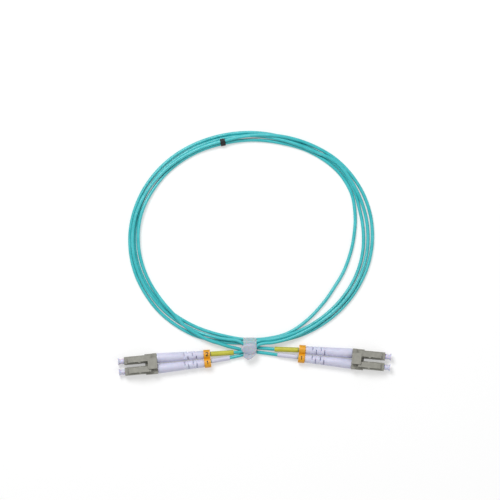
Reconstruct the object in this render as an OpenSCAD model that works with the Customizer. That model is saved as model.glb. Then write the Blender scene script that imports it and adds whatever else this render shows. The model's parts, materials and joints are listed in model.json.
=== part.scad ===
// Duplex fibre optic patch cord with an LC connector on each end, put away as a flat oval coil.
// The origin is the middle of the coil on the surface that it lies on. The connectors lie at -Y.

/* [Cord] */
// Outer diameter of one cord
cord_d = 2; // [1.8:0.05:2.2]
// Half of the coil's length along X, measured to the middle of the bundle
coil_r = 68.4; // [67:0.1:70]
// Height of the coil along Y as a share of its length along X
oval = 0.878; // [0.86:0.002:0.9]
// Wall of the yellow identification sleeve
yellow_wall = 0.35; // [0.25:0.01:0.4]
// Wall of the white identification sleeve
white_wall = 0.25; // [0.2:0.01:0.3]

/* [Plug] */
// Distance between the axes of the two plugs
pitch = 6.25; // [6.2:0.01:6.4]
// Width and height of the square plug body
plug_w = 4.5; // [4.3:0.02:4.6]
// Length of the plug body in front of its rear face
plug_l = 18.9; // [18.3:0.1:20]
// Bevel along the long edges of the plug body
plug_bevel = 0.3; // [0.1:0.05:0.5]
// Diameter of the bore in the plug's nose
nose_bore_d = 3.1; // [3.05:0.01:3.3]
// Depth of the bore in the plug's nose
nose_depth = 5.5; // [5:0.1:6]
// Thickness of the wall that stops the ferrule's collar
stop_wall = 1; // [0.8:0.05:1.3]
// Diameter of the chamber that holds the spring
chamber_d = 3.3; // [3.25:0.01:3.5]

/* [Ferrule] */
// Diameter of the ceramic ferrule
ferrule_d = 1.25; // [1.2:0.01:1.3]
// Length of the ceramic ferrule
ferrule_l = 10.5; // [10:0.1:11]
// How far the ferrule stands out of the plug's nose
ferrule_out = 2.2; // [2:0.05:2.4]
// Length of the collar on the ferrule's metal flange
collar_l = 1.5; // [1.2:0.05:1.7]
// Outer diameter of the flange's tube behind the collar
flange_tube_d = 1.9; // [1.8:0.01:1.95]
// Travel of the ferrule against its spring
ferrule_travel = 1; // [0.8:0.02:1.05]
// Wire diameter of the spring
wire_d = 0.35; // [0.3:0.01:0.36]
// Turns of the spring
spring_turns = 6; // [4:1:6]

/* [Rear body] */
// Length of the spigot inside the plug's chamber
spigot_l = 5.2; // [5:0.02:5.25]
// Diameter of the shoulder behind the plug
shoulder_d = 4.2; // [4:0.05:4.3]
// Length of the shoulder behind the plug
shoulder_l = 1.3; // [1:0.05:1.5]
// Diameter of the post that the cord's yarn is crimped on
post_d = 2.7; // [2.5:0.02:2.8]
// Length of the crimp post
post_l = 5; // [4.5:0.05:5.5]
// Bore for the fibre
fibre_bore_d = 1.2; // [1:0.02:1.4]
// Wall of the crimp ring
crimp_wall = 0.4; // [0.3:0.02:0.45]

/* [Boot] */
// Diameter of the boot at its front
boot_d = 5.7; // [5.5:0.02:5.85]
// Diameter of the boot in front of the marker clip
boot_tail_d = 4.65; // [4.5:0.02:4.9]
// Length of the boot in front of the marker clip
boot_l = 27.3; // [26.5:0.1:28]
// Diameter of the boot's neck inside the marker clip
neck_d = 4; // [3.8:0.02:4.1]
// Length of the boot's neck
neck_l = 2.1; // [1.8:0.1:2.4]
// Angle by which each boot leans towards the other one
boot_lean = 1.28; // [1.1:0.02:1.4]
// Width of the slots that let the boot bend
slot_w = 0.5; // [0.4:0.02:0.7]
// Place of the first slot behind the boot's front
slot_start = 15.8; // [14:0.1:16.5]
// Distance between a slot across the top and the next one across the side
slot_step = 2.1; // [1.9:0.02:2.3]
// Height of the two walls that the slots leave beside the cord
slot_web = 2.3; // [2.2:0.02:2.6]
// Turn of the slots about the boot's axis
slot_roll = 45; // [40:1:50]
// Turn of the slots on the left connector's first boot, which is put on at its own angle
slot_roll_left_1 = 22; // [18:1:26]

/* [Duplex clip] */
// Length of the clip
clip_l = 7; // [6.6:0.05:8]
// Thickness of the clip's floor
clip_floor = 0.65; // [0.65:0.01:0.8]
// Thickness of the clip's side walls
clip_side = 0.5; // [0.4:0.02:0.7]
// Thickness of the clip's roof
clip_roof = 0.4; // [0.3:0.02:0.5]
// Length of the clip's roof behind the open part
roof_l = 2.55; // [2.3:0.05:3]

/* [Latch and trigger] */
// Width of a latch
latch_w = 3; // [2.6:0.05:3.3]
// Thickness of a latch
latch_t = 0.8; // [0.6:0.02:0.85]
// Length of a latch from its hinge to its free end
latch_l = 12.9; // [12.5:0.1:13.2]
// Rise of the latch's underside from its hinge to its free end
latch_rise = 0.7; // [0.65:0.01:0.8]
// Diameter of the latch's knuckle
latch_pin_d = 1; // [0.9:0.02:1.04]
// Width of the latch across its two locking lugs
lug_span = 4.2; // [3.6:0.05:4.5]
// Length of the trigger's pad
pad_l = 5.4; // [5:0.05:5.6]
// Width of the trigger's pad
pad_w = 6.5; // [6.2:0.05:6.8]
// Thickness of the trigger's pad
pad_t = 0.65; // [0.5:0.02:0.8]
// Height of the ridges across the pad's two ends
ridge_h = 0.1; // [0.06:0.01:0.15]
// Length of each of these ridges
ridge_l = 0.9; // [0.7:0.05:1.1]
// Diameter of the trigger's knuckle
trigger_pin_d = 0.9; // [0.8:0.02:0.94]

/* [Dust cap] */
// Diameter of the cap's neck at the plug
cap_neck_d = 3.2; // [3.1:0.02:3.6]
// Length of the cap's neck, from the plug to its waist
cap_neck_l = 2.1; // [1.9:0.05:2.4]
// Diameter of the cap's waist
cap_waist_d = 2.8; // [2.7:0.02:3]
// Diameter of the cap's flared rim
cap_head_d = 4.2; // [4:0.05:4.5]
// Length of the cap's flare, with its rim
cap_head_l = 1.5; // [1.3:0.05:1.7]
// Thickness of the cap's rim
cap_rim_t = 0.35; // [0.3:0.01:0.5]
// Depth of the cap's tube inside the plug's nose
cap_depth = 4.6; // [4:0.05:5]

/* [Marker clip] */
// Outer diameter of the marker clip's rings
marker_d = 5.6; // [5.4:0.02:5.7]
// Length of the marker clip
marker_l = 3.8; // [3.5:0.05:4]

/* [Tie and band] */
// Width of the tie's strip
tie_w = 7.7; // [7:0.1:8.5]
// Thickness of the tie's strip
tie_t = 0.25; // [0.2:0.01:0.35]
// Length of the black band along the cords
band_l = 2.9; // [2.5:0.1:3.2]
// Thickness of the black band
band_t = 0.25; // [0.15:0.01:0.3]

/* [Fits] */
// Radial clearance where one piece turns or slips in another
fit = 0.05; // [0.03:0.01:0.06]
// Radial clearance of the cord in its sleeves, and of loose pieces round a stem
slack = 0.1; // [0.08:0.01:0.12]
// Radial clearance of the cord in the boot
boot_slack = 0.2; // [0.18:0.01:0.25]
// Play between pieces that face each other
play = 0.15; // [0.12:0.01:0.2]

/* [Hidden] */
$fn = 48;
cord_r = cord_d / 2;
hang = coil_r * oval;

// Left and right connector: middle between the rear ends of both boots, and direction of the noses
left_tail = [-25.1, -hang - 10.15, 0];
right_tail = [30, -hang - 7.4, 0];
left_heading = 185.4;
right_heading = -5.4;

// Overlap that joins the bodies of one piece, and how far a cut runs past what it cuts
weld = 0.1;
past = 1;

// Stations along a connector, from the boots' front face at 0 towards the nose
clip_back = fit;
clip_front = clip_back + clip_l;
shoulder_in_boot = 1;
plug_back = shoulder_l - shoulder_in_boot;
plug_front = plug_back + plug_l;
chamber_front = plug_front - nose_depth - stop_wall;
collar_back = chamber_front - collar_l;
ferrule_tip = plug_front + ferrule_out;
ferrule_back = ferrule_tip - ferrule_l;
spigot_front = plug_back + spigot_l;
flange_back = spigot_front + ferrule_travel + 2 * fit;
post_front = plug_back - shoulder_l;
post_back = post_front - post_l;
crimp_front = post_front - fit;
crimp_back = post_back + play;
boot_back = -boot_l - neck_l;
marker_back = -boot_l - slack - marker_l;

// Heights and widths of a connector
plug_room = plug_w + 2 * fit;
axis_z = clip_floor + plug_room / 2;
clip_w = pitch + plug_room + 2 * clip_side;
clip_top = axis_z + plug_room / 2 + clip_roof;

// Knuckles of the latches and of the trigger, and how high they lie over what they turn in
knuckle_gap = 0.1;
hinge_inset = 2.4;
hinge_x = plug_front - hinge_inset;
hinge_z = axis_z + plug_w / 2 + latch_pin_d / 2 + fit + knuckle_gap;
saddle_wall = 0.4;
saddle_l = latch_pin_d + 2 * saddle_wall;
trigger_x = 0.8;
trigger_z = clip_top + trigger_pin_d / 2 + knuckle_gap;

// Latch: lift of its arm over the hinge, its flat end, its locking lugs and the bevel at its root
arm_lift = 0.2;
arm_flat_l = 1.5;
arm_bevel = 0.15;
arm_nose = 0.3;
lug_l = 1.2;
latch_end_x = hinge_x - latch_l;
arm_root_z = hinge_z + arm_lift;
arm_end_z = arm_root_z + latch_rise;

// Trigger's pad, and how much narrower its wall and knuckle are
pad_z = arm_end_z + latch_t + play;
pad_back = 0.1;
pad_lip = 0.3;
knuckle_w = pad_w - 2 * pad_lip;

// Duplex clip: low side walls in front of its roof, saddle walls and a notch in each side
side_drop = 0.8;
saddle_behind = 0.25;
saddle_before = 0.35;
notch_back = 0.5;
notch_l = 1;
notch_h = 1.6;

// Boot: number of slots, and the wider step between the second and the third
slot_count = 4;
slot_gap = 0.6;

// Bevel on the ferrule's tip, and steps of the dust cap's flare
tip_l = 0.25;
flare_steps = 4;

// Bores that follow what runs in them
collar_d = chamber_d - 2 * play;
spring_r = flange_tube_d / 2 + slack + wire_d / 2;
ferrule_hole_d = ferrule_d + 2 * play;
crimp_d = post_d + 2 * slack + 2 * crimp_wall;
boot_front_bore_d = shoulder_d + 2 * slack;
boot_crimp_bore_d = crimp_d + 2 * boot_slack;
cord_hole_d = cord_d + 2 * boot_slack;
marker_bore_d = neck_d + 2 * fit;

// Turns of the coil. A lane is a list of [angle, distance outwards, height] along one cord, where
// the distances are in cord radii from the bundle's middle line and from lying on the surface.
coil_start = -75;
coil_end = 615;
coil_step = 15;
coil_sides = 6;
lane_a = [
  [-75, -0.3, 2], [-60, -1, 0.2], [-45, -1.6, 0], [-30, -2, 0], [0, -2.2, 0], [15, -1.7, 0],
  [30, 0.8, 0], [45, 2.3, 0], [60, 1.9, 0], [75, 2.6, 0], [90, 3.05, 0], [105, 3.1, 0],
  [120, 3.1, 0], [135, 2.85, 0], [150, 2.4, 0], [165, 2.1, 0], [180, 2.15, 0], [195, 2.5, 0],
  [210, 2.95, 0], [225, 3.6, 0], [240, 3.7, 0], [255, 2.3, 0], [270, 1, 0.4], [285, 1.7, 0],
  [300, 2.3, 0], [315, 2.3, 0], [330, 2.2, 0], [345, 2.45, 0], [360, 2.95, 0], [375, 3.75, 0],
  [390, 4.5, 0], [405, 4.9, 0.4], [420, 4, 1.5], [435, 2.6, 2.9], [450, 0.8, 2.8],
  [465, -1, 2.6], [480, -0.8, 1.65], [495, -0.5, 1.9], [510, 0, 2.1], [525, 0.4, 2],
  [540, 0.5, 2.1], [555, 0.6, 2], [570, 0.9, 1.9], [585, 0.95, 0.4], [600, 0.9, 0],
  [615, 0.3, 1.8]];
lane_b = [
  [-75, 2, 2.1], [-60, 0.8, 1.8], [-45, 0.2, 1.6], [-30, 0.3, 1.4], [-15, 0.3, 0.8], [0, 0.4, 0],
  [15, 0.9, 0.4], [30, 1.9, 1.9], [45, 3.5, 2], [60, 0.8, 2.3], [75, 0.5, 1.9], [90, 0.9, 0.4],
  [105, 0.85, 0], [120, 0.8, 0], [135, 0.6, 0], [150, 0.1, 0], [165, -0.4, 0], [180, -0.6, 0],
  [195, -0.6, 0], [210, -0.6, 0], [225, -1.1, 0], [240, -1.7, 0], [255, -2.1, 0],
  [270, -1.25, 0.4], [285, -1.5, 0], [290, -2.1, 0], [300, -4.6, 0], [315, -8.1, 0],
  [330, -9.9, 0], [345, -9.6, 0], [360, -8.1, 0], [375, -5, 0], [390, -1.3, 0], [405, 0.1, 0],
  [420, -0.3, 0], [435, -1.5, 0], [450, -1.95, 0], [465, -2.4, 0.9], [480, -2.15, 0],
  [495, -2.2, 0], [510, -2.5, 0.5], [525, -2.4, 1.6], [540, -2.75, 1.6], [555, -2.9, 1.5],
  [570, -2.7, 1.6], [585, -1.5, 2.5], [600, 1.9, 2.2], [615, 3.7, 2.1]];

// Routes of the four free stretches, from the sleeve's inner end to the coil. X in mm, Y in mm
// from the coil's lowest point, Z in cord radii.
route_left_1 = [
  [-9.8, -6.4, 1.55], [-5.5, -6.2, 2.95], [-3, -5.6, 3.45], [-0.5, -3.9, 3.6], [1.5, -1.9, 3.6],
  [3.6, -0.2, 3.5], [7, 0.8, 3.2], [12, 1.1, 3]];
route_left_2 = [
  [-12.1, -9.5, 1.45], [-5.7, -8.1, 1.7], [-2, -7.1, 2.8], [1, -5.4, 3.5], [3.3, -3, 3.5],
  [5.5, -1.7, 3.4], [9, -1, 3.2], [12.5, -0.8, 3.1]];
route_right_1 = [
  [14.2, -4.45, 1.55], [9, -4, 1.2], [4, -3.7, 1.3], [1, -3.5, 1.35], [-1.6, -3.1, 2],
  [-3.6, -2, 3.4], [-6, -0.3, 3.4], [-9, 0.7, 3.1], [-12, 1, 3]];
route_right_2 = [
  [15.9, -7.7, 1.45], [9, -6.8, 1.2], [4, -6.2, 1.3], [0, -5.8, 1.4], [-4, -5, 1.4],
  [-8.6, -3.8, 1.3], [-12.5, -3, 2.1]];

// Gap between the marker clip and each sleeve, and how far the sleeve starts beside and below the
// boot's axis
sleeve_gap = 0.3;
aside_left = [0.15, 0.95];
aside_right = [-0.2, 0.55];
sleeve_drop = 0.35;
cord_sides = 8;
stub_share = 1.1;
stub_l = stub_share * cord_d;

// The black band sits here along the second turns of both cords, with this much room round them
band_angle = 464;
band_slack = 0.16;

// Rings of the spring for each turn, its two ends, and the gap between it and what it pushes
spring_rings = 8;
spring_gap = 0.02;
spring_from = spigot_front + wire_d / 2 + spring_gap;
spring_to = collar_back - wire_d / 2 - spring_gap;
spring_steps = spring_turns * spring_rings;

// Tie: its middle in X, its room in Y from the coil's lowest point, its room in Z in cord radii, and
// the radius inside its corners
tie_x = -0.3;
tie_inside = 2.9;
tie_outside = -8.6;
tie_room = 4.7;
tie_corner = 1.2;
tie_top = tie_room * cord_r + 2 * tie_t;

// Knot on the tie: its outline in X and Y, its tail, its height and the height of its lower step
knot_h = 1.3;
knot_step = 0.4;
knot_inset = 0.82;
knot_middle = [-1, -4.6];
knot_outline = [
  [-5.4, -2.3], [-3.3, -1.5], [2.2, -1.5], [3.7, -3], [3.8, -5.4], [2.6, -7], [-2.8, -7.6],
  [-5.8, -4.8]];
tail_outline = [[-3.6, -6.8], [2.6, -6.8], [3.2, -8.3], [-1.4, -11.1], [-3.8, -9.4]];

SIDES = ["left", "right"];
PAIRS = ["plug", "latch", "dust_cap", "ferrule", "flange", "spring", "rear_body", "crimp_ring",
  "boot", "sleeve", "leg"];
SINGLES = ["duplex_clip", "trigger", "marker_clip"];

// ---- Places ----

// Direction of the nose of one connector, and the middle between its boots' front ends
function heading(side) = side == "left" ? left_heading : right_heading;
function base(side) = let (a = heading(side))
  (side == "left" ? left_tail : right_tail) + (boot_l + neck_l) * [cos(a), sin(a), 0];

// Side of the connector's middle on which channel n lies. Channel 1 is the one nearer to the coil.
function channel_sign(side, n) = (side == "left" ? -1 : 1) * (n == 1 ? 1 : -1);

// A point of the connector's own frame, in the frame of the whole part
function in_part(side, p) = let (a = heading(side))
  base(side) + p[0] * [cos(a), sin(a), 0] + p[1] * [-sin(a), cos(a), 0] + [0, 0, p[2]];

// A point on the axis of channel n, and one on the axis of its leaning boot
function on_axis(side, n, x) = in_part(side, [x, channel_sign(side, n) * pitch / 2, axis_z]);
function on_boot(side, n, x) = let (s = channel_sign(side, n))
  in_part(side, [x * cos(boot_lean), s * (pitch / 2 + x * sin(boot_lean)), axis_z]);

// Turn of the slots of one boot
function roll(side, n) = side == "left" && n == 1 ? slot_roll_left_1 : slot_roll;

function spot(p) = [p[0], p[1] - hang, p[2] * cord_r];

// Ends of a sleeve: behind the marker clip, and at the first point of the route
function sleeve_from(side, n) = on_boot(side, n, marker_back - sleeve_gap)
  + [0, (side == "left" ? aside_left : aside_right)[n - 1], -sleeve_drop];
function sleeve_to(side, n) = spot(route_of(side, n)[0]);

// ---- Routes ----

function unit(v) = v / norm(v);
function secant(k, i, c) = (k[i + 1][c] - k[i][c]) / (k[i + 1][0] - k[i][0]);
function slope(k, i, c) = i == 0 || i == len(k) - 1 ? 0 :
  let (s0 = secant(k, i - 1, c), s1 = secant(k, i, c)) s0 * s1 <= 0 ? 0 : 2 * s0 * s1 / (s0 + s1);
function key_at(k, t, i = 0) = i >= len(k) - 2 || t < k[i + 1][0] ? i : key_at(k, t, i + 1);

// Value c of lane k at angle t, as a cubic curve that never swings past its points
function lane_at(k, t, c) = let (i = key_at(k, t), h = k[i + 1][0] - k[i][0], u = (t - k[i][0]) / h)
  k[i][c] * (1 + 2 * u) * pow(1 - u, 2) + k[i + 1][c] * u * u * (3 - 2 * u)
  + slope(k, i, c) * h * u * pow(1 - u, 2) - slope(k, i + 1, c) * h * u * u * (1 - u);

function coil_point(k, t) = let (r = coil_r + cord_r * lane_at(k, t, 1))
  [r * cos(t), oval * r * sin(t), cord_r * (1 + lane_at(k, t, 2))];
function coil_dir(t) = unit([-sin(t), oval * cos(t), 0]);

// Both ends of a coil run on straight for a little more than one cord diameter
function coil_route(k) = [
  coil_point(k, coil_start) - stub_l * coil_dir(coil_start),
  for (t = [coil_start : coil_step : coil_end]) coil_point(k, t),
  coil_point(k, coil_end) + stub_l * coil_dir(coil_end)];

function lane_of(n) = n == 1 ? lane_a : lane_b;
function route_of(side, n) = side == "left" ? (n == 1 ? route_left_1 : route_left_2)
  : (n == 1 ? route_right_1 : route_right_2);

// The coil's end that a leg joins, and the next point of the leg straight on from there
function joint_dir(side) = side == "left" ? -coil_dir(coil_start) : coil_dir(coil_end);
function joint_point(side, n, past) =
  coil_point(lane_of(n), side == "left" ? coil_start : coil_end) + (stub_l + past) * joint_dir(side);

function leg_route(side, n) = [
  on_axis(side, n, post_back),
  on_axis(side, n, post_back - cord_d),
  on_boot(side, n, boot_back),
  sleeve_from(side, n),
  for (p = route_of(side, n)) spot(p),
  joint_point(side, n, cord_d),
  joint_point(side, n, 0)];

// ---- Swept tubes ----

function dir_at(p, i) = i == 0 ? unit(p[1] - p[0])
  : i == len(p) - 1 ? unit(p[i] - p[i - 1])
  : unit(unit(p[i + 1] - p[i]) + unit(p[i] - p[i - 1]));

function ring(p, i, r, sides, up) = let (d = dir_at(p, i), x = unit(cross(d, up)), y = cross(x, d))
  [for (j = [0 : sides - 1]) let (a = (j + 0.5) * 360 / sides)
    p[i] + r * (cos(a) * x + sin(a) * y)];

// One closed tube of diameter d along the points p
module tube(p, d, sides, up = [0, 0, 1]) {
  last = (len(p) - 1) * sides;
  polyhedron(
    points = [for (i = [0 : len(p) - 1]) each ring(p, i, d / 2, sides, up)],
    faces = [
      for (j = [1 : sides - 2]) [0, j + 1, j],
      for (j = [1 : sides - 2]) [last, last + j, last + j + 1],
      for (i = [0 : len(p) - 2]) for (j = [0 : sides - 1])
        let (a = i * sides + j, b = i * sides + (j + 1) % sides, c = b + sides)
          each [[a, b, c], [a, c, a + sides]]]);
}

function to_segment(p, a, b) = let (u = max(0, min(1, (p - a) * (b - a) / ((b - a) * (b - a)))))
  norm(p - a - u * (b - a));

// Least gap between one tube's own turns, from each point to the stretches `skip` or more away
function least_gap(p, d, skip) = let (last = len(p) - 2)
  min([for (i = [0 : last - skip]) for (j = [i + skip : last])
    min(to_segment(p[i], p[j], p[j + 1]), to_segment(p[j + 1], p[i], p[i + 1]))]) - d;

// ---- Building blocks ----

// Puts a connector's own frame in its place
module place(side) {
  translate(base(side)) rotate([0, 0, heading(side)]) children();
}

// Puts a piece on the axis of channel n
module channel(side, n) {
  place(side) translate([0, channel_sign(side, n) * pitch / 2, axis_z]) children();
}

// Puts a piece on the axis of the leaning boot of channel n
module boot_channel(side, n) {
  channel(side, n) rotate([0, 0, boot_lean * channel_sign(side, n)]) children();
}

// A round bar along X, from x0 to x1
module bar(x0, x1, d) {
  translate([x0, 0, 0]) rotate([0, 90, 0]) cylinder(d = d, h = x1 - x0);
}

// A round pin along Y, centred on the middle plane
module pin_y(x, z, d, w) {
  translate([x, 0, z]) rotate([90, 0, 0]) cylinder(d = d, h = w, center = true);
}

// A block that starts at x0 and z0 and is centred across Y
module block(x0, x1, w, z0, z1) {
  translate([x0, -w / 2, z0]) cube([x1 - x0, w, z1 - z0]);
}

// An outline of X and Z points, made w wide across Y
module plate_y(points, w) {
  translate([0, w / 2, 0]) rotate([90, 0, 0]) linear_extrude(w) polygon(points);
}

// Square outline with its corners cut off
module bevelled_square(w, b) {
  h = w / 2;
  c = h - b;
  polygon([[c, -h], [h, -c], [h, c], [c, h], [-c, h], [-h, c], [-h, -c], [-c, -h]]);
}

// A cone along X, from diameter d0 at x0 to d1 at x1
module cone(x0, x1, d0, d1) {
  translate([x0, 0, 0]) rotate([0, 90, 0]) cylinder(d1 = d0, d2 = d1, h = x1 - x0);
}

// ---- Plug ----

// Square plug body with a nose bore, a stop for the collar, a spring chamber and the latch's saddle
module plug() {
  saddle_from = plug_w / 2 - plug_bevel;
  saddle_top = hinge_z - axis_z;
  color("#85847c") difference() {
    union() {
      translate([plug_back, 0, 0]) rotate([0, 90, 0])
        linear_extrude(plug_l) bevelled_square(plug_w, plug_bevel);
      block(hinge_x - saddle_l / 2, hinge_x + saddle_l / 2, latch_w, saddle_from, saddle_top);
    }
    bar(plug_front - nose_depth, plug_front + past, nose_bore_d);
    bar(chamber_front - past, plug_front - past, ferrule_hole_d);
    bar(plug_back - past, chamber_front, chamber_d);
    pin_y(hinge_x, saddle_top, latch_pin_d + 2 * fit, latch_w + past);
  }
}

// Spring latch: a knuckle at its front, a rising arm and two locking lugs
module latch() {
  root_z = arm_root_z - axis_z;
  end_z = arm_end_z - axis_z;
  root_x = hinge_x - saddle_l / 2 - fit;
  nose_x = hinge_x + arm_nose;
  lug_x = hinge_x - latch_l / 2;
  lug_z = (root_z + end_z) / 2;
  color("#85847c") union() {
    pin_y(hinge_x, hinge_z - axis_z, latch_pin_d, latch_w);
    plate_y([
      [root_x, root_z],
      [latch_end_x, end_z],
      [latch_end_x, end_z + latch_t],
      [latch_end_x + arm_flat_l, end_z + latch_t],
      [hinge_x - latch_pin_d / 2, root_z + latch_t - arm_bevel],
      [nose_x, hinge_z - axis_z + latch_pin_d / 2],
      [nose_x, root_z]], latch_w);
    block(lug_x - lug_l / 2, lug_x + lug_l / 2, lug_span, lug_z, lug_z + latch_t);
  }
}

// Half of the dust cap's outline: a neck that narrows to a waist and a flare up to a thin rim
function cap_outline() = let (
  waist = plug_front + cap_neck_l,
  tip = waist + cap_head_l,
  flare = cap_head_l - cap_rim_t,
  grow = (cap_head_d - cap_waist_d) / 2) [
  [0, plug_front + fit],
  [cap_neck_d / 2, plug_front + fit],
  for (i = [0 : flare_steps]) let (u = i / flare_steps)
    [cap_waist_d / 2 + grow * u * u, waist + flare * u],
  [cap_head_d / 2, tip],
  [0, tip]];

// Cap with a flared rim. Its tube goes into the plug's nose and round the ferrule.
module dust_cap() {
  color("#c6c6dc") difference() {
    union() {
      bar(plug_front - cap_depth, plug_front + cap_neck_l, nose_bore_d - 2 * slack);
      rotate([0, 90, 0]) rotate_extrude() polygon(cap_outline());
    }
    bar(plug_front - cap_depth - past, ferrule_tip + play, ferrule_hole_d);
  }
}

// Ceramic ferrule with a bevelled tip
module ferrule() {
  color("white") union() {
    bar(ferrule_back, ferrule_tip - tip_l, ferrule_d);
    cone(ferrule_tip - tip_l, ferrule_tip, ferrule_d, ferrule_d - 2 * tip_l);
  }
}

// Metal flange pressed on the ferrule's rear end
module flange() {
  color("silver") difference() {
    union() {
      bar(collar_back, chamber_front, collar_d);
      bar(flange_back, collar_back + weld, flange_tube_d);
    }
    bar(flange_back - past, chamber_front + past, ferrule_d);
  }
}

// Spring between the rear body and the flange's collar
function spring_route() = [
  for (i = [0 : spring_steps]) let (a = i * 360 / spring_rings)
    [spring_from + (spring_to - spring_from) * i / spring_steps, spring_r * cos(a), spring_r * sin(a)]];

module spring() {
  color("silver") tube(spring_route(), wire_d, coil_sides, [1, 0, 0]);
}

// Rear body: a spigot in the plug, a shoulder behind it and a post for the crimp
module rear_body() {
  color("#b8bcc0") difference() {
    union() {
      bar(plug_back - weld, spigot_front, chamber_d - 2 * fit);
      bar(post_front, plug_back, shoulder_d);
      bar(post_back, post_front + weld, post_d);
    }
    bar(post_back - past, spigot_front + past, fibre_bore_d);
  }
}

// Metal ring that grips the cord's yarn on the post
module crimp_ring() {
  color("#c0c4c8") difference() {
    bar(crimp_back, crimp_front, crimp_d);
    bar(crimp_back - past, crimp_front + past, post_d + 2 * slack);
  }
}

// Long strain relief. Its slots come in pairs, and each pair lies at a right angle to the next.
module boot(roll) {
  depth = (boot_d - slot_web) / 2 + past;
  color("#c6c6dc") difference() {
    union() {
      cone(-boot_l, 0, boot_tail_d, boot_d);
      bar(boot_back, -boot_l + weld, neck_d);
    }
    bar(post_front - fit, past, boot_front_bore_d);
    bar(post_back - fit, past, boot_crimp_bore_d);
    bar(boot_back - past, past, cord_hole_d);
    for (i = [0 : slot_count - 1]) {
      x = -slot_start - i * slot_step - (i > 1 ? slot_gap : 0);
      for (half = [0, 180]) {
        rotate([roll + i % 2 * 90 + half, 0, 0])
          block(x - slot_w / 2, x + slot_w / 2, boot_d, slot_web / 2, slot_web / 2 + depth);
      }
    }
  }
}

// ---- Pieces round both channels ----

// Clip that holds both plugs at their pitch and carries the trigger's saddle
module duplex_clip() {
  wall_top = clip_top - clip_roof - side_drop;
  saddle_back = trigger_x - trigger_pin_d / 2 - saddle_behind;
  saddle_front = trigger_x + trigger_pin_d / 2 + saddle_before;
  color("#7e7d75") difference() {
    union() {
      block(clip_back, clip_front, clip_w, 0, wall_top);
      block(clip_back, clip_back + roof_l, clip_w, 0, clip_top);
      block(saddle_back, saddle_front, knuckle_w, clip_top - weld, trigger_z);
    }
    for (s = [-1, 1]) {
      translate([0, s * pitch / 2, axis_z])
        block(clip_back - past, clip_front + past, plug_room, -plug_room / 2, plug_room / 2);
      translate([clip_back + notch_back, s * clip_w / 2, axis_z])
        block(0, notch_l, 2 * clip_side + past, -notch_h / 2, notch_h / 2);
    }
    pin_y(trigger_x, trigger_z, trigger_pin_d + 2 * fit, knuckle_w + past);
  }
}

// Trigger: a pad over both latches, a wall behind it and a knuckle in the clip's saddle
module trigger() {
  wall_back = trigger_x - trigger_pin_d / 2;
  pad_front = pad_back + pad_l;
  top = pad_z + pad_t;
  color("#8a8981") union() {
    pin_y(trigger_x, trigger_z, trigger_pin_d, knuckle_w);
    block(wall_back, wall_back + trigger_pin_d, knuckle_w, trigger_z + play, pad_z + weld);
    block(pad_back, pad_front, pad_w, pad_z, top - ridge_h);
    block(pad_back, pad_back + ridge_l, pad_w, pad_z, top);
    block(pad_front - ridge_l, pad_front, pad_w, pad_z, top);
  }
}

// Figure-eight marker clip round the necks of both boots
module marker_clip(side) {
  marker_front = marker_back + marker_l;
  color("#e5a21a") difference() {
    for (n = [1, 2]) boot_channel(side, n) bar(marker_back, marker_front, marker_d);
    for (n = [1, 2]) boot_channel(side, n) bar(marker_back - past, marker_front + past, marker_bore_d);
  }
}

// ---- Cords ----

// Thin tube on the cord, straight from behind the marker clip
module sleeve(side, n) {
  p = sleeve_from(side, n);
  v = sleeve_to(side, n) - p;
  bore = cord_d + 2 * slack;
  wall = n == 1 ? yellow_wall : white_wall;
  color(n == 1 ? "#b3af35" : "#c6c6dc")
    translate(p) rotate([0, acos(v[2] / norm(v)), atan2(v[1], v[0])]) difference() {
      cylinder(d = bore + 2 * wall, h = norm(v));
      translate([0, 0, -past]) cylinder(d = bore, h = norm(v) + 2 * past);
    }
}

module leg(side, n) {
  color("#2fb0b0") tube(leg_route(side, n), cord_d, cord_sides);
}

module coil(k) {
  color("#2fb0b0") tube(coil_route(k), cord_d, coil_sides);
}

// ---- Band and tie ----

// Outline with two round ends of diameter d, whose centres are l apart along X
module slot_outline(l, d) {
  for (s = [-1, 1]) translate([s * l / 2, 0]) circle(d = d);
  square([l, d], center = true);
}

// Black band round the second turns of both cords
module cord_band() {
  a = coil_point(lane_a, band_angle);
  b = coil_point(lane_b, band_angle);
  v = a - b;
  run = coil_dir(band_angle);
  room = cord_d + 2 * (fit + band_slack);
  tilt = atan2(v[2], norm([v[0], v[1]]));
  color("#1c1c1e")
    translate((a + b) / 2) rotate([0, 0, atan2(run[1], run[0])]) rotate([90, 0, 90])
      rotate([0, 0, 180 - tilt]) linear_extrude(band_l, center = true) difference() {
        slot_outline(norm(v), room + 2 * band_t);
        slot_outline(norm(v), room);
      }
}

// Outline with four round corners of radius r
module round_rect(x0, x1, y0, y1, r) {
  for (x = [x0 + r, x1 - r]) for (y = [y0 + r, y1 - r]) translate([x, y]) circle(r = r);
  translate([x0 + r, y0]) square([x1 - x0 - 2 * r, y1 - y0]);
  translate([x0, y0 + r]) square([x1 - x0, y1 - y0 - 2 * r]);
}

// Section of the tie's room, grown by g on all sides
module tie_section(g) {
  round_rect(tie_outside - g, tie_inside + g, tie_t - g, tie_top - tie_t + g, tie_corner + g);
}

// Flat translucent strip round all the cords
module tie_band() {
  color("#b8c4d0", 0.7)
    translate([tie_x, -hang, 0]) rotate([90, 0, 90]) linear_extrude(tie_w, center = true) difference() {
      tie_section(tie_t);
      tie_section(0);
    }
}

// Flat knot on the strip, with a pointed tail that hangs over its outer edge
module tie_knot() {
  color("#b8c4d0", 0.7) translate([0, -hang, tie_top]) union() {
    linear_extrude(knot_h - knot_step) polygon(knot_outline);
    linear_extrude(knot_h)
      translate(knot_middle) scale(knot_inset) translate(-knot_middle) polygon(knot_outline);
    linear_extrude(knot_step) polygon(tail_outline);
  }
}

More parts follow.
